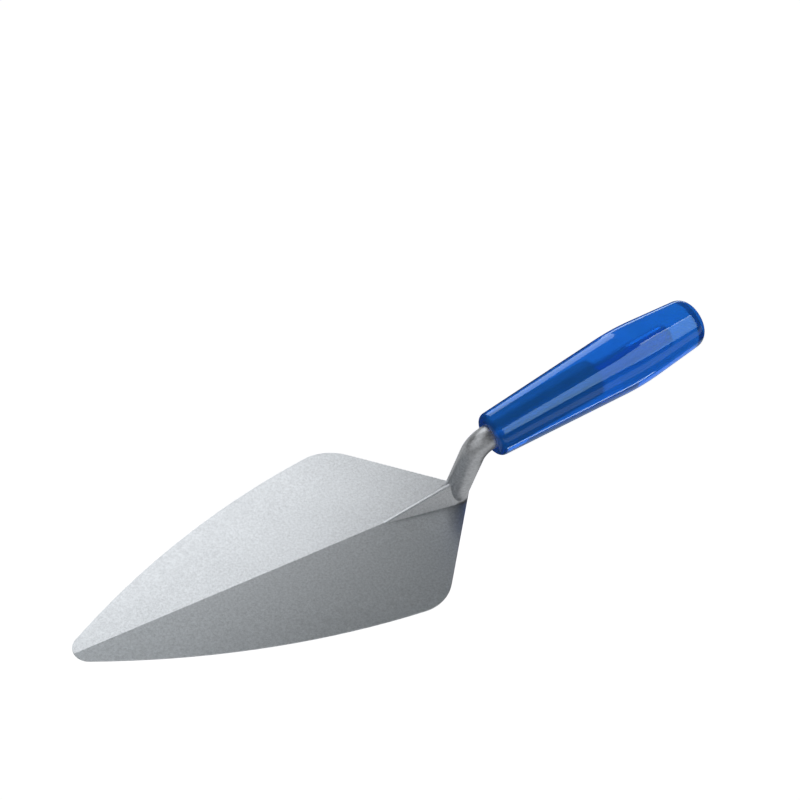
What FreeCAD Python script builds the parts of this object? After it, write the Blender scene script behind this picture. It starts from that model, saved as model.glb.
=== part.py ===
import FreeCAD, Part
import math
import os
import Sketcher

# A brick trowel lying on its blade.  Millimetres and degrees.
# +X runs from the nose of the blade to its heel and on along the handle, +Y is the blade's
# left-hand side seen from above, +Z is up.  The origin is on the sole of the blade, on the
# centre line, half way between the nose and the heel point.
#
# Three pieces: the forged blade with its boss, the bent steel bar that is shank and tang in one,
# and the moulded plastic handle that is driven on to the tang.

SIZES = {
    # blade, seen from above
    "blade_length": 255.0,
    "blade_width": 123.6,
    "nose_radius": 8.5,
    "side_radius": 530.0,
    "corner_radius": 28.0,
    "heel_angle": 46.7,
    # blade, thickness: the ridge half way along, and how the ridge and the two faces slope
    "ridge_thickness": 1.6,
    "ridge_pitch": 0.31,
    "face_fall": 1.0,
    # boss in front of the shank: a wedge with a narrow flat top that climbs out of the ridge
    "boss_start": 59.6,
    "boss_rise": 13.5,
    "boss_flare": 8.5,
    "boss_top": 1.6,
    # shank and tang
    "shank_diameter": 14.3,
    "foot_place": 116.0,
    "shank_lean": 10.8,
    "bend_radius": 12.5,
    "foot_fillet": 2.5,
    # how far inside the blade the foot's fillet runs out, so that it meets the faces at an edge
    "foot_sink": 0.1,
    "tang_depth": 73.0,
    "tang_round": 2.0,
    # handle: where its front face is, how it slopes, and its turned outline
    "handle_front": 132.0,
    "handle_height": 42.5,
    "handle_rise": 13.4,
    "handle_length": 145.6,
    "front_diameter": 26.0,
    "butt_diameter": 28.6,
    "front_taper": 3.4,
    "butt_taper": 5.15,
    "swell_radius": 160.0,
    "front_round": 4.0,
    "butt_round": 8.5,
    "bore_diameter": 9.5,
    "bore_depth": 125.0,
}

# How far the cutting shapes reach beyond what they cut.
REACH = 20.0
# How far along the boss, and how far up its rise, the thin end of its wedge is drawn.
THIN_SHARE = 0.05
# The sketch's own origin and axes.
ORIGIN = -1
# Ends of a sketch curve.
START, END, CENTRE = 1, 2, 3


# ---------------------------------------------------------------- the sheet and its values

def make_sheet(document):
    """The spreadsheet that holds every size, one row each: name, value."""
    sheet = document.addObject("Spreadsheet::Sheet", "sizes")
    for row, (name, value) in enumerate(SIZES.items(), start=1):
        sheet.set("A%d" % row, name)
        sheet.set("B%d" % row, str(value))
        sheet.setAlias("B%d" % row, name)
    document.recompute()
    return sheet


def radians(sheet, name):
    return math.radians(sheet.get(name))


# ---------------------------------------------------------------- sketches

def origin_plane(body, role):
    """The body's own XY, XZ or YZ plane."""
    return next(item for item in body.Origin.OriginFeatures if item.Role == role)


def sketch_on(body, role, name):
    """An empty sketch on one of the body's origin planes."""
    sketch = body.newObject("Sketcher::SketchObject", name)
    sketch.AttachmentSupport = (origin_plane(body, role), [""])
    sketch.MapMode = "FlatFace"
    return sketch


def shift_sketch(sketch, axis, angle, **places):
    """Moves the sketch in its plane's own axes and turns it about one of them, by formula."""
    turn = FreeCAD.Rotation(FreeCAD.Vector(*axis), 1)
    sketch.AttachmentOffset = FreeCAD.Placement(FreeCAD.Vector(), turn)
    sketch.setExpression(".AttachmentOffset.Rotation.Angle", angle)
    for name, formula in places.items():
        sketch.setExpression(".AttachmentOffset.Base." + name, formula)


def point(across, up):
    """A point in a sketch's plane."""
    return FreeCAD.Vector(across, up, 0)


def line(start, end):
    return Part.LineSegment(start, end)


def arc(centre, radius, start_angle, end_angle):
    """A counter-clockwise arc, angles in radians."""
    circle = Part.Circle(centre, FreeCAD.Vector(0, 0, 1), radius)
    return Part.ArcOfCircle(circle, start_angle, end_angle)


def polygon(corners):
    """Straight sides through the corners, closed."""
    return [line(start, end) for start, end in zip(corners, corners[1:] + corners[:1])]


def shared_ends(sketch, first, second):
    """Which end of each curve is where the two curves meet."""
    def gap(pair):
        return (sketch.getPoint(first, pair[0]) - sketch.getPoint(second, pair[1])).Length
    return min([(one, two) for one in (START, END) for two in (START, END)], key=gap)


def add_chain(sketch, curves, smooth=(), closed=True):
    """Adds curves that follow one another; they join in tangent after each number in smooth."""
    ids = [sketch.addGeometry(curve, False) for curve in curves]
    followers = ids[1:] + ids[:1] if closed else ids[1:]
    for number, (current, following) in enumerate(zip(ids, followers)):
        here, there = shared_ends(sketch, current, following)
        kind = "Tangent" if number in smooth else "Coincident"
        sketch.addConstraint(Sketcher.Constraint(kind, current, here, following, there))
    return ids


def align(sketch, kind, *curves):
    """Makes lines horizontal or vertical."""
    for curve in curves:
        sketch.addConstraint(Sketcher.Constraint(kind, curve))


def pin(sketch, curve, end, kind="PointOnObject"):
    """Puts the end of a curve on the sketch's horizontal axis, or at its origin."""
    where = (ORIGIN, START) if kind == "Coincident" else (ORIGIN,)
    sketch.addConstraint(Sketcher.Constraint(kind, curve, end, *where))


def bind(sketch, name, formula, kind, *where):
    """A named dimension of the sketch, driven by a formula on the sheet."""
    value = sketch.evalExpression(formula)
    number = float(getattr(value, "Value", value))
    if kind == "Angle":
        number = math.radians(number)
        formula = "(%s) * 1 deg" % formula
    index = sketch.addConstraint(Sketcher.Constraint(kind, *where, number))
    sketch.renameConstraint(index, name)
    sketch.setExpression("Constraints." + name, formula)


def circle_edge(shape, centre, radius):
    """The name of the circular edge with this centre and radius."""
    def misfit(numbered):
        curve = numbered[1].Curve
        if not isinstance(curve, Part.Circle):
            return math.inf
        return (curve.Center - centre).Length + abs(curve.Radius - radius)
    return "Edge%d" % min(enumerate(shape.Edges, start=1), key=misfit)[0]


# ---------------------------------------------------------------- blade

def half_blade_curves(sheet):
    """The left half of the blade from above: nose, side, wide corner, heel, centre line."""
    half_length = sheet.blade_length / 2
    nose, side, corner = sheet.nose_radius, sheet.side_radius, sheet.corner_radius
    heel = radians(sheet, "heel_angle")
    nose_centre = point(nose - half_length, 0)
    corner_height = sheet.blade_width / 2 - corner
    corner_inset = (corner + corner_height * math.cos(heel)) / math.sin(heel)
    corner_centre = point(half_length - corner_inset, corner_height)
    # the side's centre is side - nose away from one centre and side - corner from the other
    between = corner_centre - nose_centre
    along = ((side - nose) ** 2 - (side - corner) ** 2 + between.Length ** 2) / (2 * between.Length)
    away = math.sqrt((side - nose) ** 2 - along ** 2)
    ahead = FreeCAD.Vector(between).normalize()
    side_centre = nose_centre + ahead * along + point(ahead.y, -ahead.x) * away
    nose_turn = math.atan2(nose_centre.y - side_centre.y, nose_centre.x - side_centre.x)
    corner_turn = math.atan2(corner_centre.y - side_centre.y, corner_centre.x - side_centre.x)
    heel_turn = math.pi / 2 - heel
    heel_start = corner_centre + point(math.cos(heel_turn), math.sin(heel_turn)) * corner
    return [
        arc(nose_centre, nose, nose_turn, math.pi),
        arc(side_centre, side, corner_turn, nose_turn),
        arc(corner_centre, corner, heel_turn, corner_turn),
        line(heel_start, point(half_length, 0)),
        line(point(half_length, 0), point(-half_length, 0)),
    ]


def half_blade_sketch(body, sheet):
    """The blade's half outline, driven by the sheet."""
    sketch = sketch_on(body, "XY_Plane", "half_outline")
    curves = add_chain(sketch, half_blade_curves(sheet), smooth=(0, 1, 2))
    nose, side, corner, heel, middle = curves
    pin(sketch, nose, CENTRE)
    pin(sketch, middle, START)
    pin(sketch, middle, END)
    bind(sketch, "nose", "sizes.nose_radius", "Radius", nose)
    bind(sketch, "side", "sizes.side_radius", "Radius", side)
    bind(sketch, "corner", "sizes.corner_radius", "Radius", corner)
    bind(sketch, "heel_point", "sizes.blade_length / 2", "DistanceX", ORIGIN, START, middle, START)
    bind(sketch, "nose_point", "sizes.blade_length / 2", "DistanceX", middle, END, ORIGIN, START)
    bind(sketch, "corner_centre", "sizes.blade_width / 2 - sizes.corner_radius",
         "DistanceY", ORIGIN, START, corner, CENTRE)
    bind(sketch, "heel_slope", "-sizes.heel_angle", "Angle", heel)
    return sketch


def face_sketch(body, sheet, name, up, ridge="sizes.ridge_thickness"):
    """The space above (up = 1) or below (up = -1) the blade's left face, across the ridge."""
    sketch = sketch_on(body, "YZ_Plane", name)
    shift_sketch(sketch, (-1, 0, 0), "sizes.ridge_pitch", y=ridge)
    reach = sheet.blade_width / 2 + REACH
    drop = reach * math.tan(radians(sheet, "face_fall"))
    far = up * REACH
    corners = [point(0, 0), point(reach, -drop), point(reach, far), point(0, far)]
    face, outer, level, inner = add_chain(sketch, polygon(corners))
    pin(sketch, face, START, "Coincident")
    align(sketch, "Vertical", outer, inner)
    align(sketch, "Horizontal", level)
    bind(sketch, "fall", "-sizes.face_fall", "Angle", face)
    bind(sketch, "reach", "sizes.blade_width / 2 + %g" % REACH, "DistanceX", inner, END, outer, START)
    ends = (inner, END, inner, START) if up > 0 else (inner, START, inner, END)
    bind(sketch, "depth", "%g * 1" % REACH, "DistanceY", *ends)
    return sketch


def make_plate(document, sheet):
    """The flat-bottomed blade: thick along the ridge, thin at the sides, thicker at the heel."""
    body = document.addObject("PartDesign::Body", "plate")
    slab = body.newObject("PartDesign::Pad", "half_slab")
    slab.Profile = half_blade_sketch(body, sheet)
    slab.setExpression("Length", "2 * sizes.ridge_thickness")

    ground = body.newObject("PartDesign::Pocket", "ground_face")
    ground.Profile = face_sketch(body, sheet, "above_the_face", up=1)
    ground.Type = "ThroughAll"
    ground.Midplane = True

    mirror = body.newObject("PartDesign::Mirrored", "both_halves")
    mirror.Originals = [slab, ground]
    mirror.MirrorPlane = (origin_plane(body, "XZ_Plane"), [""])
    body.Tip = mirror
    return body


def boss_section(body, sheet, name, share):
    """The boss's section this share of the way from its start to the shank."""
    sketch = sketch_on(body, "YZ_Plane", name)
    sketch.setExpression(".AttachmentOffset.Base.z",
                         "sizes.boss_start + %g * (sizes.foot_place - sizes.boss_start)" % share)
    top, rise = sheet.boss_top / 2, sheet.boss_rise * share
    foot = top + sheet.boss_flare * share
    corners = [point(-foot, 0), point(foot, 0), point(top, rise), point(-top, rise)]
    base, right, summit, left = add_chain(sketch, polygon(corners))
    pin(sketch, base, START)
    pin(sketch, base, END)
    align(sketch, "Horizontal", summit)
    half_base = "sizes.boss_top / 2 + sizes.boss_flare * %g" % share
    bind(sketch, "right_foot", half_base, "DistanceX", ORIGIN, START, base, END)
    bind(sketch, "left_foot", half_base, "DistanceX", base, START, ORIGIN, START)
    bind(sketch, "right_top", "sizes.boss_top / 2", "DistanceX", ORIGIN, START, right, END)
    bind(sketch, "left_top", "sizes.boss_top / 2", "DistanceX", left, START, ORIGIN, START)
    bind(sketch, "rise", "sizes.boss_rise * %g" % share, "DistanceY", ORIGIN, START, right, END)
    return sketch


def make_boss(document, sheet):
    """The wedge in front of the shank.  Its thin end is buried in the blade."""
    body = document.addObject("PartDesign::Body", "boss_wedge")
    loft = body.newObject("PartDesign::AdditiveLoft", "boss_loft")
    loft.Profile = boss_section(body, sheet, "thin_end", THIN_SHARE)
    loft.Sections = [boss_section(body, sheet, "thick_end", 1)]
    loft.Ruled = True
    return body


# ---------------------------------------------------------------- shank and tang

def bar_path_sketch(body, sheet):
    """The bar's centre line: up from the foot, round the bend, along the handle."""
    lean = math.pi / 2 - radians(sheet, "shank_lean")
    rise = radians(sheet, "handle_rise")
    up = point(math.cos(lean), math.sin(lean))
    along = point(math.cos(rise), math.sin(rise))
    foot = point(sheet.foot_place, 0)
    front = point(sheet.handle_front, sheet.handle_height)
    tang_end = front + along * sheet.tang_depth
    # where the two straight lines cross, and how far the bend keeps from there
    across = front - foot
    crossing = foot + up * ((across.x * along.y - across.y * along.x) / (up.x * along.y - up.y * along.x))
    setback = sheet.bend_radius * math.tan((lean - rise) / 2)
    centre = crossing - up * setback + point(up.y, -up.x) * sheet.bend_radius
    quarter = math.pi / 2
    sketch = sketch_on(body, "XZ_Plane", "bar_path")
    shank, bend, tang = add_chain(sketch, [
        line(foot, crossing - up * setback),
        arc(centre, sheet.bend_radius, rise + quarter, lean + quarter),
        line(crossing + along * setback, tang_end),
    ], smooth=(0, 1), closed=False)
    pin(sketch, shank, START)
    bind(sketch, "foot", "sizes.foot_place", "DistanceX", ORIGIN, START, shank, START)
    bind(sketch, "lean", "90 - sizes.shank_lean", "Angle", shank)
    bind(sketch, "bend", "sizes.bend_radius", "Radius", bend)
    bind(sketch, "rise", "sizes.handle_rise", "Angle", tang)
    bind(sketch, "end_place", "sizes.handle_front + cos(sizes.handle_rise * 1 deg) * sizes.tang_depth",
         "DistanceX", ORIGIN, START, tang, END)
    bind(sketch, "end_height", "sizes.handle_height + sin(sizes.handle_rise * 1 deg) * sizes.tang_depth",
         "DistanceY", ORIGIN, START, tang, END)
    return sketch, FreeCAD.Vector(tang_end.x, 0, tang_end.y)


def make_bar(document, sheet):
    """The round bar, bent once, with the tang's end rounded over."""
    body = document.addObject("PartDesign::Body", "bar")
    path, tang_end = bar_path_sketch(body, sheet)
    section = sketch_on(body, "XY_Plane", "bar_section")
    shift_sketch(section, (0, 1, 0), "sizes.shank_lean", x="sizes.foot_place")
    radius = sheet.shank_diameter / 2
    circle = section.addGeometry(Part.Circle(point(0, 0), FreeCAD.Vector(0, 0, 1), radius), False)
    pin(section, circle, CENTRE, "Coincident")
    bind(section, "radius", "sizes.shank_diameter / 2", "Radius", circle)
    pipe = body.newObject("PartDesign::AdditivePipe", "bent_bar")
    pipe.Profile = section
    pipe.Spine = path
    document.recompute()
    fillet = body.newObject("PartDesign::Fillet", "tang_end_round")
    fillet.Base = (pipe, [circle_edge(pipe.Shape, tang_end, radius)])
    fillet.setExpression("Radius", "sizes.tang_round")
    body.Tip = fillet
    return body


def make_below_faces(document, sheet, name, ridge="sizes.ridge_thickness"):
    """Everything under the blade's two upper faces, or under faces with a lower ridge."""
    body = document.addObject("PartDesign::Body", name)
    half = body.newObject("PartDesign::Pad", name + "_left")
    half.Profile = face_sketch(body, sheet, name + "_section", -1, ridge)
    half.Midplane = True
    half.setExpression("Length", "2 * sizes.blade_length")
    mirror = body.newObject("PartDesign::Mirrored", name + "_both")
    mirror.Originals = [half]
    mirror.MirrorPlane = (origin_plane(body, "XZ_Plane"), [""])
    body.Tip = mirror
    return body


def make_footprint(document):
    """The blade's outline, drawn up high enough to trim the foot of the shank."""
    half = document.addObject("Part::Extrusion", "footprint_half")
    half.Base = document.getObject("half_outline")
    half.DirMode = "Normal"
    half.Solid = True
    half.LengthFwd = REACH
    other = document.addObject("Part::Mirroring", "footprint_other_half")
    other.Source = half
    other.Normal = FreeCAD.Vector(0, 1, 0)
    return join(document, "footprint", half, other)


def boolean(document, kind, name, base, tool):
    """A cut or a common of two shapes."""
    result = document.addObject(kind, name)
    result.Base = base
    result.Tool = tool
    return result


def join(document, name, *shapes):
    """Several shapes as one solid, with no seams left between flush faces."""
    fused = document.addObject("Part::MultiFuse", name)
    fused.Shapes = list(shapes)
    fused.Refine = True
    return fused


def ring_edges(shape, centre, reach):
    """The numbers of the level edges that go round this centre, no further off than the reach."""
    def is_ring(edge):
        box = edge.BoundBox
        return ((box.Center - centre).Length < reach and box.ZLength < box.YLength
                and box.DiagonalLength > reach)
    return [number for number, edge in enumerate(shape.Edges, start=1) if is_ring(edge)]


def make_foot(document, sheet, bar):
    """The bar standing in a bed just inside the blade, with a fillet all round its foot."""
    bed = make_below_faces(document, sheet, "foot_bed", "sizes.ridge_thickness - sizes.foot_sink")
    standing = boolean(document, "Part::Fuse", "standing_bar", bar, bed)
    document.recompute()
    foot = FreeCAD.Vector(sheet.foot_place, 0, sheet.ridge_thickness)
    fillet = document.addObject("Part::Fillet", "foot_round")
    fillet.Base = standing
    edges = ring_edges(standing.Shape, foot, sheet.shank_diameter / 2)
    fillet.Edges = [(edge, sheet.foot_fillet, sheet.foot_fillet) for edge in edges]
    return fillet


def make_shank(document, sheet, bar, boss):
    """Bar and foot in one.  The foot keeps above the blade's faces, off the boss, inside the edge."""
    foot = boolean(document, "Part::Common", "trimmed_foot",
                   make_foot(document, sheet, bar), make_footprint(document))
    beside = boolean(document, "Part::Cut", "foot_beside_boss", foot, boss)
    whole = join(document, "bar_and_foot", bar, beside)
    below = make_below_faces(document, sheet, "below_faces")
    return boolean(document, "Part::Cut", "shank_and_tang", whole, below)


def make_blade(document, plate, bar, boss):
    """Plate and boss in one.  The boss stops where the bar begins."""
    trimmed = boolean(document, "Part::Cut", "trimmed_boss", boss, bar)
    return join(document, "blade", plate, trimmed)


# ---------------------------------------------------------------- handle

def handle_curves(sheet):
    """Half the handle's section, from its axis up: turned outside, stepped bore inside."""
    length = sheet.handle_length
    front, butt = sheet.front_diameter / 2, sheet.butt_diameter / 2
    tang, bore = sheet.shank_diameter / 2, sheet.bore_diameter / 2
    opening = radians(sheet, "front_taper")
    closing = radians(sheet, "butt_taper")
    # the two tapers cross at the swell's corner; the swell's arc touches both
    cross = (butt - front + length * math.tan(closing)) / (math.tan(opening) + math.tan(closing))
    corner = point(cross, front + cross * math.tan(opening))
    setback = sheet.swell_radius * math.tan((opening + closing) / 2)
    swell_start = corner - point(math.cos(opening), math.sin(opening)) * setback
    swell_end = corner + point(math.cos(closing), -math.sin(closing)) * setback
    swell_centre = swell_start + point(math.sin(opening), -math.cos(opening)) * sheet.swell_radius
    # each rounded rim touches its end face and its taper
    front_centre = point(sheet.front_round, front - rim_drop(sheet.front_round, opening))
    butt_centre = point(length - sheet.butt_round, butt - rim_drop(sheet.butt_round, closing))
    quarter = math.pi / 2
    front_rim = front_centre + point(-math.sin(opening), math.cos(opening)) * sheet.front_round
    butt_rim = butt_centre + point(math.sin(closing), math.cos(closing)) * sheet.butt_round
    return [
        line(point(0, tang), point(0, front_centre.y)),
        arc(front_centre, sheet.front_round, quarter + opening, math.pi),
        line(front_rim, swell_start),
        arc(swell_centre, sheet.swell_radius, quarter - closing, quarter + opening),
        line(swell_end, butt_rim),
        arc(butt_centre, sheet.butt_round, 0, quarter - closing),
        line(point(length, butt_centre.y), point(length, 0)),
        line(point(length, 0), point(sheet.bore_depth, 0)),
        arc(point(sheet.bore_depth - bore, 0), bore, 0, quarter),
        line(point(sheet.bore_depth - bore, bore), point(sheet.tang_depth, bore)),
        line(point(sheet.tang_depth, bore), point(sheet.tang_depth, tang)),
        line(point(sheet.tang_depth, tang), point(0, tang)),
    ]


def rim_drop(radius, taper):
    """How far inside the taper's end a rim's centre lies, for a rim that touches both faces."""
    return radius * (1 - math.sin(taper)) / math.cos(taper)


def handle_sketch(body, sheet):
    """The handle's half section, driven by the sheet."""
    sketch = sketch_on(body, "XZ_Plane", "handle_section")
    curves = add_chain(sketch, handle_curves(sheet), smooth=(0, 1, 2, 3, 4, 5, 8))
    (front_face, front_rim, front_side, swell, butt_side, butt_rim,
     end_face, axis, bore_end, bore_wall, step, tang_wall) = curves
    align(sketch, "Vertical", front_face, end_face, step)
    align(sketch, "Horizontal", bore_wall, tang_wall)
    pin(sketch, axis, START)
    pin(sketch, axis, END)
    pin(sketch, bore_end, CENTRE)
    bind(sketch, "front", "0 * sizes.handle_length", "DistanceX", ORIGIN, START, front_face, START)
    bind(sketch, "tang", "sizes.shank_diameter / 2", "DistanceY", ORIGIN, START, front_face, START)
    bind(sketch, "length", "sizes.handle_length", "DistanceX", ORIGIN, START, axis, START)
    bind(sketch, "front_round", "sizes.front_round", "Radius", front_rim)
    bind(sketch, "front_taper", "sizes.front_taper", "Angle", front_side)
    bind(sketch, "swell", "sizes.swell_radius", "Radius", swell)
    bind(sketch, "butt_taper", "-sizes.butt_taper", "Angle", butt_side)
    bind(sketch, "butt_round", "sizes.butt_round", "Radius", butt_rim)
    bind(sketch, "front_rim_height", rim_formula("front"), "DistanceY",
         ORIGIN, START, front_rim, CENTRE)
    bind(sketch, "butt_rim_height", rim_formula("butt"), "DistanceY",
         ORIGIN, START, butt_rim, CENTRE)
    bind(sketch, "bore_radius", "sizes.bore_diameter / 2", "Radius", bore_end)
    bind(sketch, "bore_depth", "sizes.bore_depth", "DistanceX", ORIGIN, START, axis, END)
    bind(sketch, "tang_depth", "sizes.tang_depth", "DistanceX", ORIGIN, START, step, START)
    return sketch


def rim_formula(which):
    """The height of a rim's centre, as rim_drop works it out."""
    taper = "(sizes.%s_taper * 1 deg)" % which
    return ("sizes.%s_diameter / 2 - sizes.%s_round * (1 - sin(%s)) / cos(%s)"
            % (which, which, taper, taper))


def make_handle(document, sheet):
    """The turned handle, bored for the tang and on past it, laid along the tang."""
    body = document.addObject("PartDesign::Body", "handle")
    turned = body.newObject("PartDesign::Revolution", "turned_handle")
    sketch = handle_sketch(body, sheet)
    turned.Profile = sketch
    turned.ReferenceAxis = (sketch, ["H_Axis"])
    turned.Angle = 360
    body.Placement = FreeCAD.Placement(FreeCAD.Vector(), FreeCAD.Rotation(FreeCAD.Vector(0, -1, 0), 1))
    body.setExpression(".Placement.Base.x", "sizes.handle_front")
    body.setExpression(".Placement.Base.z", "sizes.handle_height")
    body.setExpression(".Placement.Rotation.Angle", "sizes.handle_rise")
    return body


# ---------------------------------------------------------------- check and write

def check(document, pieces):
    """Stops if an object failed, a sketch is loose, or a piece is not one valid solid."""
    for item in document.Objects:
        if "Invalid" in item.State or "Error" in item.State:
            raise RuntimeError("%s failed: %s" % (item.Name, item.State))
        if item.TypeId == "Sketcher::SketchObject" and item.solve() != 0:
            raise RuntimeError("sketch %s has no solution" % item.Name)
    for piece in pieces:
        shape = piece.Shape
        if shape.isNull() or not shape.isValid() or len(shape.Solids) != 1:
            raise RuntimeError("%s is not one valid solid" % piece.Label)


def write(pieces):
    """One STEP file for each piece, named after it."""
    os.makedirs("parts", exist_ok=True)
    for piece in pieces:
        piece.Shape.exportStep("parts/%s.step" % piece.Label)
        print("%-16s %8.0f mm3" % (piece.Label, piece.Shape.Volume))


def main():
    document = FreeCAD.newDocument("brick_trowel")
    sheet = make_sheet(document)
    plate = make_plate(document, sheet)
    boss = make_boss(document, sheet)
    bar = make_bar(document, sheet)
    shank = make_shank(document, sheet, bar, boss)
    blade = make_blade(document, plate, bar, boss)
    handle = make_handle(document, sheet)
    blade.Label = "blade"
    shank.Label = "shank_and_tang"
    handle.Label = "handle"
    document.recompute()
    pieces = [blade, shank, handle]
    check(document, pieces)
    write(pieces)


main()
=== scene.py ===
import math

import bmesh
import bpy
from mathutils import Matrix, Vector


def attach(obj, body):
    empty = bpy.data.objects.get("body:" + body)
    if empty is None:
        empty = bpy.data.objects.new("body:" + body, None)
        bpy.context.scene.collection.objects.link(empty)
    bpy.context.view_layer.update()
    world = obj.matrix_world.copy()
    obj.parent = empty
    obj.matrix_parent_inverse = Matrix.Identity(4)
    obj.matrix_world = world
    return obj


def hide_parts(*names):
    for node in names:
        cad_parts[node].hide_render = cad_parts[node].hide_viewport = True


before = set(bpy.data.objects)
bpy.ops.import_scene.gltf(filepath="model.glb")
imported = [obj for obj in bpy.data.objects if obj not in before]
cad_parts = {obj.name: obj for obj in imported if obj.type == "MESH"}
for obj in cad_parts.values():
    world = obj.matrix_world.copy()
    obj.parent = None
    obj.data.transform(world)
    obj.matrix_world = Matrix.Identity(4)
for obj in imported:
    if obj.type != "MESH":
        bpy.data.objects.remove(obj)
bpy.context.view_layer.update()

# A brick trowel on a white table.  Metres and degrees, in the CAD frame: +X from the nose of the
# blade to the heel and on along the handle, +Y the blade's left-hand side, +Z up, the sole at 0.

# ---------------------------------------------------------------- sizes

# Edges of the steel pieces are broken this much: the plate's edges, and those of boss and bar.
EDGE_ROUND = 0.0003
BOSS_EDGE_ROUND = 0.0001
# The plate is nowhere thicker than this, so what lies higher is boss or bar.
PLATE_TOP = 0.0025
EDGE_STEPS = 2
# Folds flatter than this are drawn as one smooth surface, but ground faces, which are larger
# than this area, stay flat.
SMOOTH_ANGLE = 28.0
FLAT_AREA = 0.0001
# Points of the CAD mesh closer than this are one, and faces within this angle are one face.
SAME_POINT = 1e-6
SAME_FACE_ANGLE = 0.05

# The handle's axis, and its outline as (place along the axis, radius).
HANDLE_FRONT = Vector((0.1320, 0.0, 0.0425))
HANDLE_RISE = 13.4
HANDLE_LENGTH = 0.1456
FRONT_RADIUS = 0.0130
BUTT_RADIUS = 0.0143
FRONT_TAPER = 3.4
BUTT_TAPER = 5.15
SWELL_RADIUS = 0.160
FRONT_ROUND = 0.004
BUTT_ROUND = 0.0085
# The bore: a seat that grips the tang without a gap, and a narrower blind hole beyond it.
TANG_RADIUS = 0.00715
SEAT_GRIP = 0.0001
TANG_DEPTH = 0.073
BORE_RADIUS = 0.00475
BORE_DEPTH = 0.125
MOUTH_CHAMFER = 0.0006
# How finely it is turned: steps round the axis, and the largest steps along the outline.
TURNED_STEPS = 160
ARC_STEP = 4.0
LONGEST_STEP = 0.0025
AXIS_WELD = 1e-7

# ---------------------------------------------------------------- meshes


def link_piece(name, mesh, node):
    """A piece that takes the place of a CAD node and moves with the object."""
    piece = bpy.data.objects.new(name, mesh)
    bpy.context.scene.collection.objects.link(piece)
    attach(piece, "root")
    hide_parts(node)
    return piece


def smooth(mesh):
    """Smooth shading, kept crisp at every real edge and flat on the large ground faces."""
    mesh.set_sharp_from_angle(angle=math.radians(SMOOTH_ANGLE))
    curved = [face.area < FLAT_AREA for face in mesh.polygons]
    mesh.polygons.foreach_set("use_smooth", curved)


def break_edges(shape, edges, width):
    """A small round along these edges."""
    bmesh.ops.bevel(shape, geom=edges, offset=width, offset_type="OFFSET", segments=EDGE_STEPS,
                    profile=0.5, affect="EDGES", clamp_overlap=True)


def outer_edges(shape, lowest, highest):
    """The sharp outer edges whose middle lies between two heights."""
    def is_outer(edge):
        middle = (edge.verts[0].co.z + edge.verts[1].co.z) / 2
        return (lowest < middle <= highest and edge.is_manifold
                and edge.calc_face_angle_signed() > math.radians(SMOOTH_ANGLE))
    return [edge for edge in shape.edges if is_outer(edge)]


def forged_mesh(name, node):
    """The CAD node's surface as clean faces, with its outer edges broken."""
    shape = bmesh.new()
    shape.from_mesh(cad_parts[node].data)
    bmesh.ops.remove_doubles(shape, verts=shape.verts, dist=SAME_POINT)
    bmesh.ops.dissolve_limit(shape, angle_limit=math.radians(SAME_FACE_ANGLE),
                             verts=shape.verts, edges=shape.edges)
    break_edges(shape, outer_edges(shape, PLATE_TOP, math.inf), BOSS_EDGE_ROUND)
    break_edges(shape, outer_edges(shape, -math.inf, PLATE_TOP), EDGE_ROUND)
    mesh = bpy.data.meshes.new(name)
    shape.to_mesh(mesh)
    shape.free()
    smooth(mesh)
    return mesh


def arc_points(centre, radius, start, end):
    """Points along an arc, angles in degrees."""
    sweep = abs(end - start)
    steps = math.ceil(max(sweep / ARC_STEP, radius * math.radians(sweep) / LONGEST_STEP))
    turns = [math.radians(start + (end - start) * step / steps) for step in range(steps + 1)]
    return [(centre[0] + radius * math.cos(turn), centre[1] + radius * math.sin(turn))
            for turn in turns]


def rim_centre_radius(radius, rim, taper):
    """How far from the axis a rim's centre lies, for a rim that touches end face and taper."""
    turn = math.radians(taper)
    return radius - rim * (1 - math.sin(turn)) / math.cos(turn)


def with_steps(points):
    """The same outline with its long straight parts divided, so that it shades evenly."""
    divided = [points[0]]
    for start, end in zip(points, points[1:]):
        steps = math.ceil(math.dist(start, end) / LONGEST_STEP)
        divided += [(start[0] + (end[0] - start[0]) * step / steps,
                     start[1] + (end[1] - start[1]) * step / steps)
                    for step in range(1, steps + 1)]
    return divided


def handle_outline():
    """The handle's half section from the bore's end round to the butt: (along, radius)."""
    opening, closing = math.radians(FRONT_TAPER), math.radians(BUTT_TAPER)
    cross = ((BUTT_RADIUS - FRONT_RADIUS + HANDLE_LENGTH * math.tan(closing))
             / (math.tan(opening) + math.tan(closing)))
    setback = SWELL_RADIUS * math.tan((opening + closing) / 2)
    swell_start = (cross - math.cos(opening) * setback,
                   FRONT_RADIUS + cross * math.tan(opening) - math.sin(opening) * setback)
    swell_centre = (swell_start[0] + math.sin(opening) * SWELL_RADIUS,
                    swell_start[1] - math.cos(opening) * SWELL_RADIUS)
    front_centre = (FRONT_ROUND, rim_centre_radius(FRONT_RADIUS, FRONT_ROUND, FRONT_TAPER))
    butt_centre = (HANDLE_LENGTH - BUTT_ROUND,
                   rim_centre_radius(BUTT_RADIUS, BUTT_ROUND, BUTT_TAPER))
    seat = TANG_RADIUS - SEAT_GRIP
    seat_end = TANG_DEPTH - SEAT_GRIP
    outside = (arc_points(front_centre, FRONT_ROUND, 180, 90 + FRONT_TAPER)
               + arc_points(swell_centre, SWELL_RADIUS, 90 + FRONT_TAPER, 90 - BUTT_TAPER)
               + arc_points(butt_centre, BUTT_ROUND, 90 - BUTT_TAPER, 0))
    inside = (arc_points((BORE_DEPTH - BORE_RADIUS, 0), BORE_RADIUS, 0, 90)
              + [(seat_end, BORE_RADIUS), (seat_end, seat), (MOUTH_CHAMFER, seat),
                 (0, seat + MOUTH_CHAMFER)])
    return with_steps(inside + outside + [(HANDLE_LENGTH, 0)])


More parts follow.
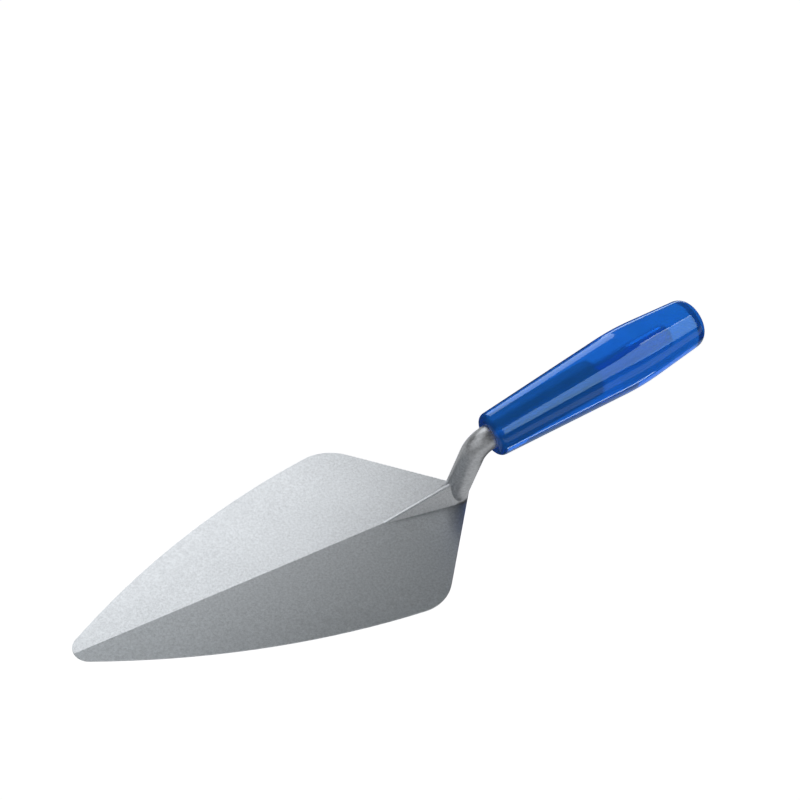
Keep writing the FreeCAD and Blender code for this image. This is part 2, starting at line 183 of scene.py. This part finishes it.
def turned_mesh(name, outline, place):
    """An outline turned about the axis, which starts at place and climbs at HANDLE_RISE."""
    shape = bmesh.new()
    axis_turn = Matrix.Rotation(-math.radians(HANDLE_RISE), 4, "Y")
    onto_axis = Matrix.Translation(place) @ axis_turn
    points = [shape.verts.new((along, 0, radius)) for along, radius in outline]
    edges = [shape.edges.new(pair) for pair in zip(points, points[1:])]
    bmesh.ops.spin(shape, geom=points + edges, cent=(0, 0, 0), axis=(1, 0, 0),
                   angle=2 * math.pi, steps=TURNED_STEPS, use_duplicate=False)
    bmesh.ops.remove_doubles(shape, verts=shape.verts, dist=AXIS_WELD)
    bmesh.ops.recalc_face_normals(shape, faces=shape.faces)
    shape.transform(onto_axis)
    mesh = bpy.data.meshes.new(name)
    shape.to_mesh(mesh)
    shape.free()
    smooth(mesh)
    return mesh


# ---------------------------------------------------------------- materials


def new_material(name):
    """An empty node material: its tree, its shader and its output."""
    material = bpy.data.materials.new(name)
    material.use_nodes = True
    tree = material.node_tree
    tree.nodes.clear()
    output = tree.nodes.new("ShaderNodeOutputMaterial")
    shader = tree.nodes.new("ShaderNodeBsdfPrincipled")
    tree.links.new(shader.outputs["BSDF"], output.inputs["Surface"])
    return material, tree, shader, output


def feed(tree, socket, source):
    """Sets a socket to a value, or links it to another node's output."""
    if isinstance(source, bpy.types.NodeSocket):
        tree.links.new(source, socket)
    else:
        socket.default_value = source


def add(tree, kind, inputs, **settings):
    """A node with its settings and its inputs, which are values or other nodes' outputs."""
    node = tree.nodes.new("ShaderNode" + kind)
    for name, value in settings.items():
        setattr(node, name, value)
    for name, source in inputs.items():
        feed(tree, node.inputs[name], source)
    return node


def place_in_object(tree, scale=(1, 1, 1), turn=(0, 0, 0)):
    """Places in the object's own frame, stretched and turned."""
    coordinates = add(tree, "TexCoord", {})
    mapping = add(tree, "Mapping", {"Vector": coordinates.outputs["Object"], "Scale": scale,
                                    "Rotation": [math.radians(angle) for angle in turn]})
    return mapping.outputs["Vector"]


def noise(tree, place, scale, detail=4.0, roughness=0.55):
    node = add(tree, "TexNoise", {"Vector": place, "Scale": scale, "Detail": detail,
                                  "Roughness": roughness})
    return node.outputs["Fac"]


def spread(tree, value, low, high, to_low, to_high):
    """Maps low..high to to_low..to_high, and stops at both ends."""
    node = add(tree, "MapRange", {"Value": value, "From Min": low, "From Max": high,
                                  "To Min": to_low, "To Max": to_high})
    return node.outputs["Result"]


def math_node(tree, operation, first, second):
    node = add(tree, "Math", {0: first, 1: second}, operation=operation)
    return node.outputs["Value"]


def blend(tree, share, first, second):
    """A colour between two colours."""
    node = tree.nodes.new("ShaderNodeMix")
    node.data_type = "RGBA"
    colours = [socket for socket in node.inputs if socket.type == "RGBA"]
    feed(tree, node.inputs["Factor"], share)
    feed(tree, colours[0], first)
    feed(tree, colours[1], second)
    return next(socket for socket in node.outputs if socket.type == "RGBA")


def bump(tree, height, distance, strength=1.0, below=None):
    """Normals of a relief, on top of those of the relief below."""
    inputs = {"Height": height, "Distance": distance, "Strength": strength}
    if below is not None:
        inputs["Normal"] = below
    return add(tree, "Bump", inputs).outputs["Normal"]


def set_shader(tree, shader, **sources):
    for name, source in sources.items():
        feed(tree, shader.inputs[name.replace("_", " ")], source)


# The ground faces shade as if they fell away from the ridge by this much more than they do,
# and the left one as if it were a little rounded as well, in 1/m.
GROUND_LEAN = 0.05
GROUND_CURVE = 0.5
# The tang is left as forged, with its dark bluish scale.
TANG_COLOUR = (0.30, 0.34, 0.40, 1)
# The bar turns from bare steel to scale from here on, over this length.
SCALE_START = HANDLE_FRONT.x + 0.002
SCALE_LENGTH = 0.003
# The plastic is a little milky: this share of the light goes straight through a surface,
# and the rest is scattered back in the plastic's own blue.
PLASTIC_CLEAR = 0.57
PLASTIC_IOR = 1.49
# The plastic's absorption per metre is DEPTH_DENSITY times one minus this, for each colour.
DEPTH_COLOUR = (0.25, 0.665, 0.875, 1)
DEPTH_DENSITY = 40


def ground_height(tree, place):
    """How high the ground faces shade as if they were, falling away from the ridge."""
    across = add(tree, "SeparateXYZ", {"Vector": place}).outputs["Y"]
    fall = math_node(tree, "MULTIPLY", math_node(tree, "ABSOLUTE", across, 0), GROUND_LEAN)
    left = math_node(tree, "MAXIMUM", across, 0)
    rounding = math_node(tree, "MULTIPLY", math_node(tree, "MULTIPLY", left, left), GROUND_CURVE)
    depth = math_node(tree, "ADD", fall, rounding)
    return math_node(tree, "MULTIPLY", depth, -1)


def blade_steel():
    """Ground and blasted steel: mottled and finely pitted, brighter on the high spots."""
    material, tree, shader, _ = new_material("blade_steel")
    place = place_in_object(tree)
    clouds = noise(tree, place, scale=30, detail=2)
    mottle = noise(tree, place, scale=700, detail=5, roughness=0.7)
    speckle = noise(tree, place, scale=2400, detail=2, roughness=0.5)
    tone = math_node(tree, "ADD", spread(tree, mottle, 0.3, 0.7, 0, 0.6),
                     spread(tree, speckle, 0.3, 0.7, 0, 0.4))
    colour = blend(tree, tone, (0.44, 0.458, 0.478, 1), (0.80, 0.832, 0.865, 1))
    roughness = spread(tree, math_node(tree, "ADD", mottle, clouds), 0.7, 1.3, 0.34, 0.38)
    ground = bump(tree, ground_height(tree, place), distance=1.0)
    pitted = bump(tree, mottle, distance=0.00010, strength=0.5, below=ground)
    grained = bump(tree, speckle, distance=0.00003, strength=0.5, below=pitted)
    set_shader(tree, shader, Base_Color=colour, Metallic=1.0, Roughness=roughness, Normal=grained)
    return material


def shank_steel():
    """Forged round bar: satin, streaked along its length, and dark inside the handle."""
    material, tree, shader, _ = new_material("shank_steel")
    place = place_in_object(tree)
    mottle = noise(tree, place, scale=700, detail=5, roughness=0.65)
    along = place_in_object(tree, scale=(60, 900, 900), turn=(0, HANDLE_RISE, 0))
    streaks = noise(tree, along, scale=1.0, detail=3)
    tone = math_node(tree, "ADD", spread(tree, mottle, 0.3, 0.7, 0, 0.5),
                     spread(tree, streaks, 0.35, 0.65, 0, 0.5))
    bare = blend(tree, tone, (0.40, 0.415, 0.435, 1), (0.68, 0.70, 0.725, 1))
    along_x = add(tree, "SeparateXYZ", {"Vector": place}).outputs["X"]
    depth = math_node(tree, "SUBTRACT", along_x, SCALE_START)
    inside = spread(tree, depth, 0, SCALE_LENGTH, 0, 1)
    colour = blend(tree, inside, bare, TANG_COLOUR)
    roughness = spread(tree, streaks, 0.3, 0.7, 0.34, 0.48)
    streaked = bump(tree, streaks, distance=0.00008, strength=0.5)
    relief = bump(tree, mottle, distance=0.00004, strength=0.6, below=streaked)
    set_shader(tree, shader, Base_Color=colour, Metallic=1.0, Roughness=roughness, Normal=relief)
    return material


def clear_blue_plastic():
    """Polished see-through plastic, slightly milky, coloured through its thickness."""
    material, tree, shader, output = new_material("clear_blue_plastic")
    place = place_in_object(tree)
    haze = noise(tree, place, scale=90, detail=4)
    colour = blend(tree, haze, (0.022, 0.23, 0.86, 1), (0.032, 0.28, 0.95, 1))
    roughness = spread(tree, haze, 0.3, 0.7, 0.01, 0.04)
    set_shader(tree, shader, Base_Color=colour, Roughness=roughness, IOR=PLASTIC_IOR,
               Transmission_Weight=PLASTIC_CLEAR)
    absorb = add(tree, "VolumeAbsorption", {"Color": DEPTH_COLOUR, "Density": DEPTH_DENSITY})
    tree.links.new(absorb.outputs["Volume"], output.inputs["Volume"])
    return material


# ---------------------------------------------------------------- pieces


def make_blade():
    mesh = forged_mesh("forged_blade", "blade")
    mesh.materials.append(blade_steel())
    return link_piece("forged_blade", mesh, "blade")


def make_shank():
    mesh = forged_mesh("bent_bar", "shank_and_tang")
    mesh.materials.append(shank_steel())
    return link_piece("bent_bar", mesh, "shank_and_tang")


def make_handle():
    mesh = turned_mesh("handle_body", handle_outline(), HANDLE_FRONT)
    mesh.materials.append(clear_blue_plastic())
    return link_piece("moulded_handle", mesh, "handle")


# ---------------------------------------------------------------- studio

# The table that the camera sees, and under it the sheets of light that the pieces see.
FLOOR_SIDE = 8.0
TABLE_TOP = -0.0002
TABLE_LIGHT = -0.0004
TABLE_SPAN = 4.0
# Softboxes stand on a dome round this point.
DOME_CENTRE = Vector((0.03, 0.0, 0.0))
DOME_RADIUS = 0.9
ROOM_GLOW = 0.03
# Lights that the plastic shows in one way only are hidden from these kinds of ray.
THROUGH_ONLY = ("diffuse", "glossy")
MIRRORED_ONLY = ("diffuse", "transmission")
MILK_ONLY = ("glossy", "transmission")
# The camera looks at the target from this distance, raised and rolled by these angles.  Its
# azimuth is 0 when it looks from -Y and 90 when it looks from +X.
CAMERA_TARGET = Vector((0.1310, 0.0764, 0.0))
CAMERA_DISTANCE = 1.301
CAMERA_AZIMUTH = -43.47
CAMERA_ELEVATION = 45.28
CAMERA_ROLL = 12.83
CAMERA_LENS = 99.0


def make_table():
    """A plain white table, seen by the camera only.  The pieces mirror the light under it."""
    side = FLOOR_SIDE / 2
    mesh = bpy.data.meshes.new("table_top")
    corners = [(-side, -side, TABLE_TOP), (side, -side, TABLE_TOP), (side, side, TABLE_TOP),
               (-side, side, TABLE_TOP)]
    mesh.from_pydata(corners, [], [(0, 1, 2, 3)])
    material, tree, shader, _ = new_material("table_top")
    set_shader(tree, shader, Base_Color=(0.8, 0.8, 0.8, 1), Roughness=0.9,
               Emission_Color=(1, 1, 1, 1), Emission_Strength=1.0)
    mesh.materials.append(material)
    table = bpy.data.objects.new("table_top", mesh)
    bpy.context.scene.collection.objects.link(table)
    hide_from(table, ("diffuse", "glossy", "transmission", "shadow"))


def make_world():
    """A faint even glow from all round."""
    world = bpy.data.worlds.new("studio")
    world.use_nodes = True
    background = world.node_tree.nodes["Background"]
    background.inputs["Color"].default_value = (1, 1, 1, 1)
    background.inputs["Strength"].default_value = ROOM_GLOW
    bpy.context.scene.world = world


def receivers(name, pieces):
    """The pieces that a group of softboxes lights."""
    group = bpy.data.collections.new(name)
    for piece in pieces:
        group.objects.link(piece)
    return group


def hide_from(thing, kinds):
    """Hides a light or a card from these kinds of ray."""
    for kind in kinds:
        setattr(thing, "visible_" + kind, False)


def make_panel(name, group, place, facing, level, width, height, glow, hidden):
    """A glowing rectangle at a place, facing back along the direction given, for one group."""
    light = bpy.data.lights.new(name, "AREA")
    light.shape = "RECTANGLE"
    light.size, light.size_y = width, height
    light.color = glow[:3]
    light.energy = glow[3] * math.pi * width * height
    panel = bpy.data.objects.new(name, light)
    bpy.context.scene.collection.objects.link(panel)
    turned = Matrix((level, facing.cross(level), facing)).transposed().to_4x4()
    panel.matrix_world = Matrix.Translation(place) @ turned
    hide_from(panel, ("camera", *hidden))
    panel.light_linking.receiver_collection = group


def make_softbox(name, group, azimuth, elevation, width, height, glow, hidden=()):
    """A softbox on the studio's dome, which faces its centre.  Azimuth 0 is +X and 90 is +Y."""
    turn, climb = math.radians(azimuth), math.radians(elevation)
    away = Vector((math.cos(climb) * math.cos(turn), math.cos(climb) * math.sin(turn),
                   math.sin(climb)))
    level = Vector((-math.sin(turn), math.cos(turn), 0))
    place = DOME_CENTRE + away * DOME_RADIUS
    make_panel(name, group, place, away, level, width, height, glow, hidden)


def make_table_light(name, group, glow, hidden=()):
    """The light that a white table sends up to one group."""
    place, down = Vector((0, 0, TABLE_LIGHT)), Vector((0, 0, -1))
    level = Vector((1, 0, 0))
    make_panel(name, group, place, down, level, TABLE_SPAN, TABLE_SPAN, glow, hidden)


def make_card(name, group, corners, glow, hidden=()):
    """A flat glowing card with these four corners, hidden from these kinds of ray."""
    mesh = bpy.data.meshes.new(name)
    mesh.from_pydata(corners, [], [(0, 1, 2, 3)])
    material, tree, shader, output = new_material(name)
    tree.nodes.remove(shader)
    emission = add(tree, "Emission", {"Color": (*glow[:3], 1), "Strength": glow[3]})
    tree.links.new(emission.outputs["Emission"], output.inputs["Surface"])
    mesh.materials.append(material)
    card = bpy.data.objects.new(name, mesh)
    bpy.context.scene.collection.objects.link(card)
    card.light_linking.receiver_collection = group
    hide_from(card, ("camera", *hidden))


def make_camera():
    """The camera, which looks down on the trowel from the nose's right-hand side."""
    azimuth, elevation = math.radians(CAMERA_AZIMUTH), math.radians(CAMERA_ELEVATION)
    back = Vector((math.sin(azimuth) * math.cos(elevation),
                   -math.cos(azimuth) * math.cos(elevation), math.sin(elevation)))
    level = Vector((0, 0, 1)).cross(back).normalized()
    upright = back.cross(level)
    roll = math.radians(CAMERA_ROLL)
    right = level * math.cos(roll) + upright * math.sin(roll)
    up = back.cross(right)
    data = bpy.data.cameras.new("camera")
    data.lens = CAMERA_LENS
    camera = bpy.data.objects.new("camera", data)
    bpy.context.scene.collection.objects.link(camera)
    facing = Matrix((right, up, back)).transposed().to_4x4()
    camera.matrix_world = Matrix.Translation(CAMERA_TARGET + back * CAMERA_DISTANCE) @ facing
    bpy.context.scene.camera = camera


def neutral(radiance):
    """White light."""
    return (1.0, 1.0, 1.0, radiance)


def cool(radiance):
    """A little green and blue, as light that comes off a pale cool wall."""
    return (0.88, 1.0, 1.04, radiance)


def cool_blue(radiance):
    """Bluer, as daylight in a window."""
    return (0.85, 1.1, 1.3, radiance)


def sky_blue(radiance):
    """The blue of open sky."""
    return (0.9, 1.55, 2.1, radiance)


def light_the_steel(blade, bar):
    """Softboxes that blade and bar mirror, and a few for the blade alone."""
    group = receivers("lit_blade", [blade])
    make_softbox("near_tip", group, 70, 68, 0.30, 0.20, cool(0.3))
    make_softbox("near_corner", group, 18, 54, 0.30, 0.20, cool(0.2))
    make_softbox("overhead", group, 150, 66, 0.75, 0.44, cool(0.50))
    make_softbox("front_right", group, 336, 24, 0.80, 0.44, neutral(0.75))
    group = receivers("lit_steel", [blade, bar])
    make_table_light("table_for_steel", group, neutral(0.55))
    make_softbox("key", group, 76, 38, 0.72, 0.66, neutral(1.48))
    make_softbox("back", group, 168, 38, 1.15, 0.70, neutral(0.58))
    make_softbox("left", group, 237, 40, 0.95, 0.76, neutral(0.42))
    make_softbox("above", group, 150, 66, 0.75, 0.44, neutral(0.68))
    make_softbox("right", group, 10, 25, 0.90, 0.60, neutral(0.25))
    make_softbox("low_right", group, 280, 8, 1.20, 0.30, neutral(0.47))


def light_the_plastic(plastic):
    """Lights are mirrored in the plastic, seen through it, or scattered by its milkiness."""
    group = receivers("lit_plastic", [plastic])
    make_table_light("table_through_plastic", group, neutral(1.15), THROUGH_ONLY)
    make_softbox("horizon_through_plastic", group, 75, 14, 2.6, 0.7, neutral(0.4), THROUGH_ONLY)
    make_table_light("table_on_plastic", group, neutral(0.35), MIRRORED_ONLY)
    make_softbox("low_on_plastic", group, 290, 5, 2.4, 0.32, cool_blue(0.6), MIRRORED_ONLY)
    make_softbox("fill_above", group, 0, 90, 3.0, 3.0, neutral(0.62), MILK_ONLY)
    make_softbox("fill_below", group, 0, -90, 3.0, 3.0, neutral(0.8), MILK_ONLY)
    add_highlights(group)


def add_highlights(group):
    """Cards that give the handle its long highlights, from the top one down."""
    # the soft strip under the upper edge, and its continuation over the swell
    make_card("softbox_behind", group, [(0.20, 1.0, 0.0), (0.66, 1.0, 0.0),
                                        (0.54, 1.0, 0.61), (0.10, 1.0, 0.61)], cool_blue(2.0))
    make_card("table_behind", group, [(0.35, 0.28, 0.001), (0.60, 0.22, 0.001),
                                      (1.00, 0.90, 0.001), (0.60, 1.00, 0.001)],
              cool_blue(1.8), MIRRORED_ONLY)
    # the broad stripe along the middle, with a brighter rim on part of its upper edge
    make_card("softbox_above", group, [(0.12, -0.38, 0.75), (0.23, -1.05, 0.75),
                                       (1.15, -1.30, 0.75), (0.55, -0.09, 0.75)],
              sky_blue(1.9), ("diffuse",))
    make_card("softbox_rim", group, [(0.41, -0.17, 0.74), (0.57, -0.10, 0.74),
                                     (0.56, -0.06, 0.74), (0.40, -0.13, 0.74)], cool_blue(5.0))
    # the bright line along the lower edge, and the dim band below it
    make_card("table_line", group, [(0.15, -0.049, 0.001), (0.15, -0.060, 0.001),
                                    (0.30, -0.084, 0.001), (0.30, -0.070, 0.001)],
              cool_blue(4.0), MIRRORED_ONLY)
    make_card("table_under", group, [(0.15, -0.044, 0.0005), (0.36, -0.060, 0.0005),
                                     (0.36, 0.020, 0.0005), (0.15, 0.0, 0.0005)],
              cool_blue(0.5), MIRRORED_ONLY)


def make_studio(blade, bar, plastic):
    """A white table under softboxes.  The steel and the plastic have softboxes of their own."""
    make_table()
    make_world()
    light_the_steel(blade, bar)
    light_the_plastic(plastic)
    bpy.context.scene.view_settings.view_transform = "Standard"
    make_camera()


blade, shank, handle = make_blade(), make_shank(), make_handle()
make_studio(blade, shank, handle)
